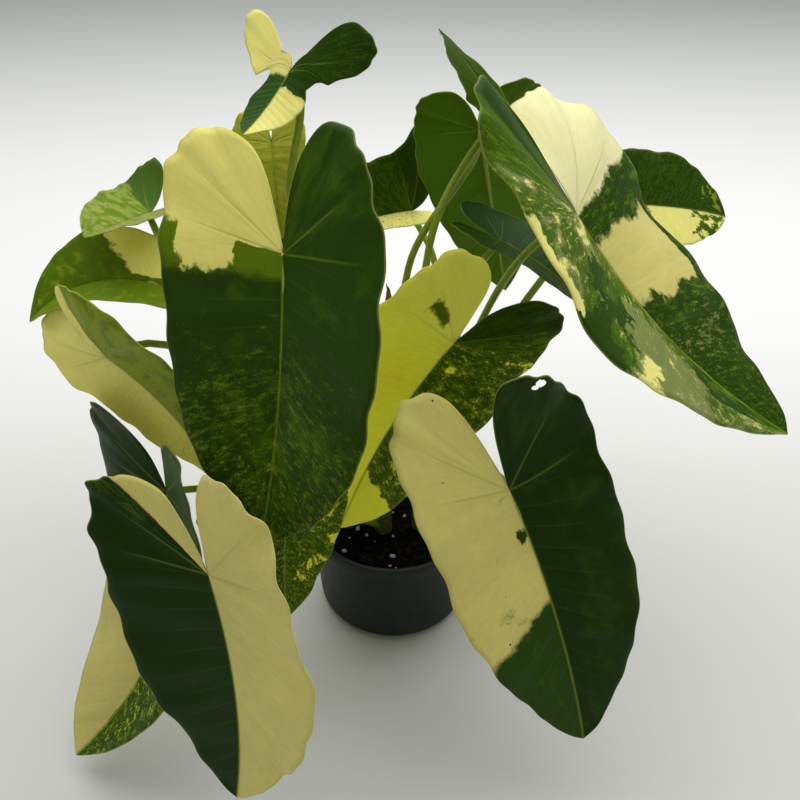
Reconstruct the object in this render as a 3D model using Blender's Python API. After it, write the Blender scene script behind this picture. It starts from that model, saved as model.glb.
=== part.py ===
"""Potted philodendron: a nursery pot of soil, four short stems, and leaves on long petioles.

Metres, +Z up. The pot stands on z = 0 with its axis on the origin, and the front of the plant
faces -Y. Leaf places are given in millimetres from the middle of the soil's surface, so the
plant rises with the pot.
"""

import math
from typing import NamedTuple, Optional, Tuple

import bmesh
import bpy
from mathutils import Matrix, Quaternion, Vector

MM = 0.001
GAP = 0.0003

# Nursery pot
POT_TOP_RADIUS = 0.0525
POT_BASE_RADIUS = 0.0470
POT_HEIGHT = 0.0700
POT_WALL = 0.0016
BAND_HEIGHT = 0.0085
BAND_PROUD = 0.0012
BAND_TAPER = 0.3
BASE_ROUNDING = 0.0090
ROUNDING_STEPS = 5
POT_SIDES = 48
DRAIN_HOLES = 6
DRAIN_RADIUS = 0.0040
DRAIN_CIRCLE_RADIUS = 0.0280

# Soil and stems
HEADSPACE = 0.0090
STEM_RADIUS = 0.0055
STEM_TIP_RADIUS = 0.0042
STEM_HEIGHT = 0.0400
STEM_SHOULDER = 0.9
STEM_TOP_SHARE = 0.6
STEM_SIDES = 20
STEMS = {
    "front_stem": (-0.006, -0.009),
    "left_stem": (-0.019, 0.000),
    "right_stem": (0.017, -0.006),
    "back_stem": (0.001, 0.018),
}

# Petioles, whose places on a stem are shares of its height, and blades
PETIOLE_RADIUS = 0.0020
PETIOLE_BASE_SWELL = 1.35
PETIOLE_TOP_SWELL = 1.0
PETIOLE_STEPS = 9
FIRST_PETIOLE_AT = 0.1625
PETIOLE_SPACING = 0.1625
LOWEST_PETIOLE_LEAN = 0.95
LEAN_STEP = 0.14
HANDLE_SHARE = 0.36
ARRIVE_UP = 0.75
ARRIVE_STRAIGHT = 0.45
ARRIVE_ALONG = 0.25
RIM_CHECKS = 12
BLADE_THICKNESS = 0.0006
BLADE_STEPS_ALONG = 16
BLADE_STEPS_ACROSS = 3

# Dried sheath of a spent leaf, standing on the soil between the stems
SHEATH_PLACE = (-0.002, 0.005)
SHEATH_HEIGHT = 0.1700
SHEATH_FOOT_RADIUS = 0.0013
SHEATH_MOUTH_RADIUS = 0.0021
SHEATH_TIP_RADIUS = 0.0003
SHEATH_MOUTH_AT = 0.92

# How each half of a blade is laid out, from the tip round the lobe to the petiole
WIDEST_AT = 0.45
LOBE_END_AT = 0.80
FAN_BEGINS_AT = 0.50
VEIN_LEAN = 1.1

# Shape of a half's outline, as shares of the blade's length, the half's width or the lobe's length
TIP_SHOULDER = 0.86
BELLY = 0.55
WAIST_AT = 0.12
LOBE_BULGE = 0.45
LOBE_CROWN = 0.95
LOBE_CORNER = 0.55
SINUS_MOUTH = 0.12
SINUS_DEPTH = 0.4
SINUS_WIDTH = 0.06


class Leaf(NamedTuple):
    """One leaf. Pairs give the halves at local -Y and +Y; lengths are in millimetres, angles in degrees."""

    name: str
    stem: str
    petiole_joint: Tuple[float, float, float]
    tip: Tuple[float, float, float]
    faces: Tuple[float, float, float]
    widths: Tuple[float, float]
    lobes: Tuple[float, float]
    folds: Tuple[float, float] = (12, 12)
    lifts: Tuple[float, float] = (0, 0)
    curls: Tuple[float, float] = (-0.1, -0.1)
    arch: float = 4
    sweep: float = 0
    tip_fullness: float = 0.48
    splays: Tuple[float, float] = (0, 0)
    waist: float = 1.0
    through: Optional[Tuple[float, float, float]] = None


# The first leaf of each stem grows lowest on it.
LEAVES = [
    Leaf("front_left", "front_stem", (-81, -148, 112), (-78, -177, -21), (-0.45, -0.87, 0.17), (54, 57),
         (45, 58), folds=(7, 15), curls=(0.1, 0), arch=1, sweep=8, tip_fullness=0.38, through=(-96, -76, 78)),
    Leaf("centre", "front_stem", (-48, -59, 225), (-67, -92, 75), (-0.42, -0.87, 0.25), (60, 64), (47, 59),
         folds=(10, 20), lifts=(-3, -5), curls=(0, 0), arch=9, sweep=9, through=(-38, -30, 128)),
    Leaf("low_left", "left_stem", (-120, -62, 82), (-174, -138, -45), (-0.5, -0.63, 0.59), (53, 54), (32, 30),
         folds=(20, 29), lifts=(10, 0), curls=(-0.3, 0), arch=-14, sweep=16, through=(-78, -36, 58)),
    Leaf("low_centre", "left_stem", (-50, -64, 112), (-57, -97, 22), (0.29, -0.88, 0.37), (32, 32), (34, 36),
         folds=(12, 8), arch=2, sweep=-3),
    Leaf("left_cream", "left_stem", (-147, -31, 148), (-93, -49, 77), (-0.44, -0.89, -0.11), (34, 36),
         (36, 43), folds=(6, 9), lifts=(-18, -8), curls=(0.08, -0.1), arch=-4, sweep=3, tip_fullness=0.4),
    Leaf("left_small", "left_stem", (-131, 36, 196), (-151, -15, 209), (0.14, 0.19, 0.97), (24, 22), (25, 24),
         folds=(21, 21), lifts=(17, 0), curls=(0, 0), arch=0, through=(-62, 28, 92)),
    Leaf("left_green", "left_stem", (-122, 9, 166), (-194, -4, 152), (-0.11, -0.38, 0.92), (32, 28), (31, 31),
         folds=(29, 30), curls=(-0.1, 0), arch=12, sweep=-5, tip_fullness=0.6),
    Leaf("front_right", "right_stem", (55, -114, 132), (99, -153, -6), (0.04, -0.96, 0.28), (47, 47),
         (56, 63), folds=(20, 12), lifts=(-12, 31), curls=(0, -0.28), sweep=4),
    Leaf("under_right", "right_stem", (58, 20, 188), (110, 4, 148), (0.55, -0.16, 0.82), (25, 25), (27, 27),
         folds=(22, 12), arch=5),
    Leaf("yellow", "right_stem", (33, -18, 148), (-30, -46, 39), (0.14, -0.97, 0.21), (49, 45), (48, 43),
         folds=(13, 13), lifts=(6, 5), curls=(-0.13, -0.2), arch=3, sweep=-7, tip_fullness=0.55),
    Leaf("right", "right_stem", (86, -34, 232), (195, -75, 133), (0.56, -0.32, 0.76), (61, 60), (77, 55),
         folds=(19, 18), lifts=(2, -22), curls=(-0.17, -0.2), arch=-7, sweep=-6, tip_fullness=0.41,
         through=(46, 4, 140)),
    Leaf("back_rolled", "right_stem", (56, 44, 247), (22, 13, 301), (0.87, -0.1, 0.49), (25, 26), (16, 29),
         folds=(-18, 28), lifts=(1, 0), curls=(-0.3, 0), arch=3, through=(20, 12, 190)),
    Leaf("back_centre", "back_stem", (11, 108, 160), (-86, 88, 126), (-0.23, -0.4, 0.88), (40, 24), (32, 13),
         folds=(50, 27), lifts=(52, 0), curls=(0.1, -0.05), arch=7, sweep=-3, waist=0.8, through=(26, 78, 132)),
    Leaf("back_right", "back_stem", (127, 38, 200), (190, 62, 180), (0.44, -0.61, 0.66), (26, 31), (30, 30),
         folds=(12, 18)),
    Leaf("top_yellow", "back_stem", (-64, 52, 229), (-59, 28, 185), (-0.07, -0.88, 0.48), (21, 19), (19, 21)),
    Leaf("back", "back_stem", (49, 76, 226), (73, 104, 105), (-0.2, 0.9, 0.4), (41, 38), (25, 31),
         through=(9, 30, 165)),
    Leaf("top", "back_stem", (-49, 23, 277), (-70, -1, 256), (-0.47, -0.31, 0.83), (22, 24), (55, 39),
         folds=(-3, 6), lifts=(3, 7), curls=(0, -0.45), arch=-3, sweep=-2, splays=(50, 25), waist=0.62,
         through=(-50, 6, 215)),
]


def clear_scene():
    for thing in list(bpy.data.objects):
        bpy.data.objects.remove(thing, do_unlink=True)


def make_material(name, colour, roughness):
    material = bpy.data.materials.new(name)
    material.use_nodes = True
    shader = material.node_tree.nodes["Principled BSDF"]
    shader.inputs["Base Color"].default_value = (*colour, 1.0)
    shader.inputs["Roughness"].default_value = roughness
    shader.inputs["Metallic"].default_value = 0.0
    return material


def add_object(name, data, material):
    thing = bpy.data.objects.new(name, data)
    bpy.context.scene.collection.objects.link(thing)
    data.materials.append(material)
    return thing


def finish_mesh(name, bm, material):
    mesh = bpy.data.meshes.new(name)
    bm.to_mesh(mesh)
    bm.free()
    mesh.shade_smooth()
    mesh.set_sharp_from_angle(angle=math.radians(35))
    return add_object(name, mesh, material)


def turned_mesh(profile, sides):
    """A closed bmesh turned about Z from (radius, height) points whose two ends lie on the axis."""
    bm = bmesh.new()
    verts = [bm.verts.new((radius, 0, height)) for radius, height in profile]
    edges = [bm.edges.new(pair) for pair in zip(verts, verts[1:])]
    bmesh.ops.spin(bm, geom=verts + edges, cent=(0, 0, 0), axis=(0, 0, 1), angle=math.tau,
                   steps=sides, use_merge=True)
    bmesh.ops.remove_doubles(bm, verts=bm.verts, dist=1e-6)
    bmesh.ops.recalc_face_normals(bm, faces=bm.faces)
    return bm


# The pot and the soil


def wall_radius(height, inset):
    """Radius of the pot's plain wall at a height, measured on a surface set inwards from the outer one."""
    top = POT_TOP_RADIUS - BAND_PROUD
    return POT_BASE_RADIUS + (top - POT_BASE_RADIUS) * height / POT_HEIGHT - inset


def rounded_foot(inset):
    """Points from the axis along the floor and round the corner, on a surface set inwards."""
    corner = wall_radius(BASE_ROUNDING, BASE_ROUNDING)
    points = [(0, inset)]
    for step in range(ROUNDING_STEPS + 1):
        angle = 0.5 * math.pi * step / ROUNDING_STEPS
        bend = BASE_ROUNDING - inset
        points.append((corner + bend * math.sin(angle), BASE_ROUNDING - bend * math.cos(angle)))
    return points


def make_pot():
    band_foot = POT_HEIGHT - BAND_HEIGHT
    profile = rounded_foot(0)
    profile += [(wall_radius(band_foot, 0), band_foot)]
    profile += [(POT_TOP_RADIUS - BAND_TAPER * BAND_PROUD, band_foot + BAND_PROUD)]
    profile += [(POT_TOP_RADIUS, POT_HEIGHT)]
    profile += [(wall_radius(POT_HEIGHT, POT_WALL), POT_HEIGHT), *reversed(rounded_foot(POT_WALL))]
    material = make_material("pot plastic", (0.02, 0.024, 0.025), 0.5)
    pot = finish_mesh("pot", turned_mesh(profile, POT_SIDES), material)
    cut_drain_holes(pot)
    return pot


def cut_drain_holes(pot):
    bm = bmesh.new()
    for hole in range(DRAIN_HOLES):
        angle = math.tau * hole / DRAIN_HOLES
        middle = Vector((math.cos(angle), math.sin(angle), 0)) * DRAIN_CIRCLE_RADIUS
        bmesh.ops.create_cone(bm, cap_ends=True, segments=16, radius1=DRAIN_RADIUS, radius2=DRAIN_RADIUS,
                              depth=6 * POT_WALL, matrix=Matrix.Translation(middle))
    mesh = bpy.data.meshes.new("drain cutters")
    bm.to_mesh(mesh)
    bm.free()
    cutters = bpy.data.objects.new("drain_cutters", mesh)
    bpy.context.scene.collection.objects.link(cutters)
    cutters.hide_render = True
    cutters.display_type = "WIRE"
    cut = pot.modifiers.new("drain holes", "BOOLEAN")
    cut.operation = "DIFFERENCE"
    cut.solver = "EXACT"
    cut.object = cutters


def soil_level():
    return POT_HEIGHT - HEADSPACE


def make_soil():
    inset = POT_WALL + GAP
    top = soil_level()
    profile = [*rounded_foot(inset), (wall_radius(top, inset), top), (0, top)]
    material = make_material("potting soil", (0.02, 0.015, 0.01), 0.95)
    return finish_mesh("soil", turned_mesh(profile, POT_SIDES), material)


# Stems and petioles


def make_stem(name, place):
    foot = soil_level() + GAP
    profile = [(0, foot), (STEM_RADIUS, foot), (STEM_TIP_RADIUS, foot + STEM_SHOULDER * STEM_HEIGHT)]
    profile += [(STEM_TOP_SHARE * STEM_TIP_RADIUS, foot + STEM_HEIGHT), (0, foot + STEM_HEIGHT)]
    bm = turned_mesh(profile, STEM_SIDES)
    bmesh.ops.translate(bm, verts=bm.verts, vec=(*place, 0))
    return finish_mesh(name, bm, make_material(name + " bark", (0.11, 0.16, 0.03), 0.6))


def stem_radius_at(height):
    """Radius of a stem at a height above the soil."""
    return STEM_RADIUS + (STEM_TIP_RADIUS - STEM_RADIUS) * height / (STEM_SHOULDER * STEM_HEIGHT)


def leaf_point(values):
    """A point given in millimetres from the middle of the soil's surface."""
    return Vector(values) * MM + Vector((0, 0, soil_level()))


def blade_axes(leaf):
    """The joint, the length to the tip, and the unit vectors along the midrib, to the +Y half and up."""
    joint = leaf_point(leaf.petiole_joint)
    along = leaf_point(leaf.tip) - joint
    length = along.length
    along.normalize()
    up = Vector(leaf.faces)
    up = (up - up.dot(along) * along).normalized()
    return joint, length, along, up.cross(along), up


def rim_rise(leaf, arrive):
    """How far the rim of a petiole's end would pass through a blade that its middle touches."""
    _, length, along, across, up = blade_axes(leaf)
    radius = PETIOLE_RADIUS * PETIOLE_TOP_SWELL * arrive.orthogonal().normalized()
    rise = 0.0
    for step in range(RIM_CHECKS):
        rim = Quaternion(arrive, math.tau * step / RIM_CHECKS) @ radius
        x, y = rim.dot(along), rim.dot(across)
        fold = math.radians(leaf.folds[1 if y > 0 else 0])
        blade = abs(y) * math.tan(fold) + 4 * leaf.arch * MM * x / length
        rise = max(rise, rim.dot(up) - blade)
    return rise


def petiole_route(leaf, order):
    """Bezier points as (handle, point, handle, radius), from the side of a stem to the underside of a blade.

    The first petiole on a stem leaves lowest and leans out most, and each later one stands higher and
    more upright.
    """
    joint, _, along, _, up = blade_axes(leaf)
    stem = Vector((*STEMS[leaf.stem], soil_level()))
    height = STEM_HEIGHT * (FIRST_PETIOLE_AT + PETIOLE_SPACING * order)
    first_aim = leaf_point(leaf.through) if leaf.through else joint
    outward = Vector((first_aim.x - stem.x, first_aim.y - stem.y, 0)).normalized()
    leave = ((LOWEST_PETIOLE_LEAN - LEAN_STEP * order) * outward + Vector((0, 0, 1))).normalized()
    reach = stem_radius_at(height) + GAP + PETIOLE_RADIUS * PETIOLE_BASE_SWELL * leave.z
    start = stem + outward * reach + Vector((0, 0, height))
    straight = (joint - start).normalized()
    arrive = (ARRIVE_UP * up + ARRIVE_STRAIGHT * straight + ARRIVE_ALONG * along).normalized()
    end = joint - up * (BLADE_THICKNESS / 2 + GAP + rim_rise(leaf, arrive))
    points = [start, *([first_aim] if leaf.through else []), end]
    directions = [leave, *([straight] if leaf.through else []), arrive]
    route = []
    for place, (point, direction) in enumerate(zip(points, directions)):
        before = (point - points[place - 1]).length if place else 0.0
        after = (points[place + 1] - point).length if place + 1 < len(points) else 0.0
        radius = PETIOLE_RADIUS * (PETIOLE_TOP_SWELL if place else PETIOLE_BASE_SWELL)
        handles = (point - direction * HANDLE_SHARE * before, point + direction * HANDLE_SHARE * after)
        route.append((handles[0], point, handles[1], radius))
    return route


def make_tube(name, route, steps, material):
    """A round closed tube along Bezier points given as (handle, point, handle, radius)."""
    curve = bpy.data.curves.new(name, "CURVE")
    curve.dimensions = "3D"
    curve.resolution_u = steps
    curve.bevel_depth = 1.0
    curve.bevel_resolution = 1
    curve.use_fill_caps = True
    spline = curve.splines.new("BEZIER")
    spline.bezier_points.add(len(route) - 1)
    for point, (left, middle, right, radius) in zip(spline.bezier_points, route):
        point.handle_left_type = "FREE"
        point.handle_right_type = "FREE"
        point.handle_left = left
        point.co = middle
        point.handle_right = right
        point.radius = radius
    return add_object(name, curve, material)


def make_petiole(leaf, order, material):
    route = petiole_route(leaf, order)
    steps = PETIOLE_STEPS if len(route) == 2 else (PETIOLE_STEPS + 1) // 2
    return make_tube(leaf.name + "_petiole", route, steps, material)


def make_dried_sheath():
    foot = Vector((*SHEATH_PLACE, soil_level() + GAP))
    rise = Vector((0, 0, SHEATH_HEIGHT * HANDLE_SHARE))
    mouth = foot + Vector((0, 0, SHEATH_HEIGHT * SHEATH_MOUTH_AT))
    tip = foot + Vector((0, 0, SHEATH_HEIGHT))
    lip = (tip - mouth) * HANDLE_SHARE
    route = [(foot - rise, foot, foot + rise, SHEATH_FOOT_RADIUS)]
    route += [(mouth - rise, mouth, mouth + lip, SHEATH_MOUTH_RADIUS)]
    route += [(tip - lip, tip, tip + lip, SHEATH_TIP_RADIUS)]
    material = make_material("dried sheath", (0.2, 0.1, 0.06), 0.8)
    return make_tube("dried_sheath", route, PETIOLE_STEPS, material)


# Blades


def bezier(points, t):
    a, b, c, d = points
    s = 1 - t
    return tuple(s**3 * a[i] + 3 * t * s**2 * b[i] + 3 * t**2 * s * c[i] + t**3 * d[i] for i in (0, 1))


def margin_point(share, length, width, lobe, leaf):
    """Flat outline of one half at a share of the way from the tip round the lobe to the petiole."""
    waist = (WAIST_AT * length, leaf.waist * width)
    corner = (-lobe, LOBE_CORNER * width)
    if share <= WIDEST_AT:
        shoulder = (TIP_SHOULDER * length, leaf.tip_fullness * width)
        return bezier([(length, 0), shoulder, (BELLY * length, width), waist], share / WIDEST_AT)
    if share <= LOBE_END_AT:
        crown = (-lobe, LOBE_CROWN * width)
        along = (share - WIDEST_AT) / (LOBE_END_AT - WIDEST_AT)
        return bezier([waist, (-LOBE_BULGE * lobe, width), crown, corner], along)
    sinus = (-SINUS_DEPTH * lobe, SINUS_WIDTH * width)
    along = (share - LOBE_END_AT) / (1 - LOBE_END_AT)
    return bezier([corner, (-lobe, SINUS_MOUTH * width), sinus, (0, 0)], along)


def blade_point(leaf, length, side, share):
    """A point of the bent blade in its own axes, for a side from -1 to 1 and a share as above."""
    half = 1 if side > 0 else 0
    width = leaf.widths[half] * MM
    lobe = leaf.lobes[half] * MM
    margin_x, margin_y = margin_point(share, length, width, lobe, leaf)
    vein_root = length * max(0.0, 1 - share / FAN_BEGINS_AT) ** VEIN_LEAN
    reach = abs(side)
    x = vein_root + (margin_x - vein_root) * reach
    y = margin_y * reach
    fold = math.radians(leaf.folds[half])
    behind = min(max(-x / lobe, 0.0), 1.5)
    splay = math.radians(leaf.splays[half]) * min(1.5 * behind, 1.0)
    x, y = x * math.cos(splay) + y * math.sin(splay), y * math.cos(splay) - x * math.sin(splay)
    height = y * math.sin(fold) + leaf.curls[half] * y * y / width + leaf.lifts[half] * MM * behind**2
    t = x / length
    bow = 4 * t * (1 - t) if t > 0 else 4 * t
    across = math.copysign(y * math.cos(fold), side) + leaf.sweep * MM * bow
    return x, across, height + leaf.arch * MM * bow


def make_blade(leaf, material):
    joint, length, along, across, up = blade_axes(leaf)
    bm = bmesh.new()
    bmesh.ops.create_grid(bm, x_segments=2 * BLADE_STEPS_ACROSS, y_segments=BLADE_STEPS_ALONG, size=1)
    for vert in bm.verts:
        x, y, z = blade_point(leaf, length, vert.co.x, (vert.co.y + 1) / 2)
        vert.co = joint + x * along + y * across + z * up
    bmesh.ops.remove_doubles(bm, verts=bm.verts, dist=1e-6)
    blade = finish_mesh(leaf.name + "_leaf", bm, material)
    wall = blade.modifiers.new("thickness", "SOLIDIFY")
    wall.thickness = BLADE_THICKNESS
    wall.offset = 0
    return blade


def main():
    clear_scene()
    make_pot()
    make_soil()
    for name, place in STEMS.items():
        make_stem(name, place)
    make_dried_sheath()
    placed = dict.fromkeys(STEMS, 0)
    for leaf in LEAVES:
        make_blade(leaf, make_material(leaf.name + " blade", (0.05, 0.13, 0.02), 0.35))
        make_petiole(leaf, placed[leaf.stem], make_material(leaf.name + " petiole", (0.16, 0.26, 0.05), 0.4))
        placed[leaf.stem] += 1


main()
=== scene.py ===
"""Potted philodendron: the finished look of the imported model.

Metres, +Z up. The front of the plant faces -Y. Leaf places are given in millimetres from the middle
of the soil's surface. Every blade is laid out by two numbers: side, from -1 to 1 across it, and
share, from 0 at the tip round the lobe to 1 at the petiole. Lines of equal share are its veins.
"""

import math
import random
from typing import NamedTuple, Optional, Tuple

import bmesh
import bpy
from mathutils import Matrix, Quaternion, Vector, noise


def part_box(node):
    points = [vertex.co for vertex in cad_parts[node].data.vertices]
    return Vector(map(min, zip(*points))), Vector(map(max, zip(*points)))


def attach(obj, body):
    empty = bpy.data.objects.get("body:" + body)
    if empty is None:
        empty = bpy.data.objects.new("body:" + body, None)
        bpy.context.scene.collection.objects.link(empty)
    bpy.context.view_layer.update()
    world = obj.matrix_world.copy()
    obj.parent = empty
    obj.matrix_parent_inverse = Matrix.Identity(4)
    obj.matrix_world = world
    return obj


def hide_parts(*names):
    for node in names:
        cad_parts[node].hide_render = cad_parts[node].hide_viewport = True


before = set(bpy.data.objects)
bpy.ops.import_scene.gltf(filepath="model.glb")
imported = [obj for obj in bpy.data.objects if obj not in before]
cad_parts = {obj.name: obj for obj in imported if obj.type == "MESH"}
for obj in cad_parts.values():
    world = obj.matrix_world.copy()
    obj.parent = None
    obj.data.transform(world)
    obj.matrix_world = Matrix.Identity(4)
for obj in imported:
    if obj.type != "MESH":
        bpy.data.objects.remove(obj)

bl_info = {
    "name": "Potted Philodendron",
    "version": (1, 0, 0),
    "blender": (4, 5, 0),
    "location": "View3D > Sidebar > Philodendron",
    "description": "Builds a variegated philodendron in a nursery pot around its packed frame",
    "category": "Object",
}

MM = 0.001
POT_LOW, POT_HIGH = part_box("pot")
SOIL_LOW, SOIL_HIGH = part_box("soil")

# Where each half's outline turns, as shares of the way from the tip to the petiole
WIDEST_AT = 0.45
LOBE_END_AT = 0.80
FAN_BEGINS_AT = 0.50
VEIN_LEAN = 1.1

# Shape of a half's outline, as shares of the blade's length, the half's width or the lobe's length
TIP_SHOULDER = 0.86
BELLY = 0.55
WAIST_AT = 0.12
LOBE_BULGE = 0.45
LOBE_CROWN = 0.95
LOBE_CORNER = 0.55
SINUS_MOUTH = 0.12
SINUS_DEPTH = 0.4
SINUS_WIDTH = 0.06

# Colours, linear
TONES = {
    "black green": (0.010, 0.036, 0.0005),
    "deep green": (0.021, 0.062, 0.0005),
    "green": (0.050, 0.115, 0.001),
    "leaf green": (0.095, 0.180, 0.002),
    "mid green": (0.125, 0.210, 0.003),
    "lime": (0.270, 0.340, 0.020),
    # slate green is a bluish dark green; on the under_right leaf it is painted shade, the blue cast of a
    # leaf in shadow.
    "slate green": (0.025, 0.080, 0.006),
    "olive": (0.190, 0.230, 0.060),
    "dull yellow": (0.400, 0.400, 0.045),
    "yellow": (0.930, 0.900, 0.070),
    "pale yellow": (0.950, 0.900, 0.180),
    "cream": (0.840, 0.770, 0.235),
    # shaded cream and the darker cream below are cream lowered as painted shade for the leaves that face the
    # viewer; on the right leaf the darker cream also gives darker cream mottles.
    "shaded cream": (0.580, 0.530, 0.180),
    "dull cream": (0.670, 0.610, 0.195),
    "pale cream": (0.880, 0.830, 0.430),
    "brown": (0.100, 0.045, 0.010),
}

FIRST, SECOND, BOTH = 0, 1, 2


class Patch(NamedTuple):
    """A patch of colour on a blade, between two shares and two reaches from the midrib to the margin.

    A cover under 1 breaks it into streaks, or into blotches if it is broad. Ragged scales how far its edge
    wanders, and soft is how wide its edge fades, as a share.
    """

    half: int
    tone: str
    shares: Tuple[float, float]
    reaches: Tuple[float, float] = (0, 1)
    cover: float = 1.0
    ragged: float = 1.0
    soft: float = 0.006
    broad: bool = False


class Leaf(NamedTuple):
    """One leaf. Pairs give the halves at local -Y and +Y; lengths are in millimetres, angles in degrees."""

    name: str
    stem: str
    petiole_joint: Tuple[float, float, float]
    tip: Tuple[float, float, float]
    faces: Tuple[float, float, float]
    widths: Tuple[float, float]
    lobes: Tuple[float, float]
    folds: Tuple[float, float] = (12, 12)
    lifts: Tuple[float, float] = (0, 0)
    curls: Tuple[float, float] = (-0.1, -0.1)
    arch: float = 4
    sweep: float = 0
    tip_fullness: float = 0.48
    splays: Tuple[float, float] = (0, 0)
    waist: float = 1.0
    lobe_fullness: float = 1.0
    through: Optional[Tuple[float, float, float]] = None
    tones: Tuple[str, str] = ("deep green", "deep green")
    waves: Tuple[float, float] = (1.2, 1.2)
    patches: Tuple[Patch, ...] = ()
    pleats: Tuple[float, float] = (0.25, 0.25)
    holes: Tuple[Tuple[int, float, float, float], ...] = ()


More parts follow.
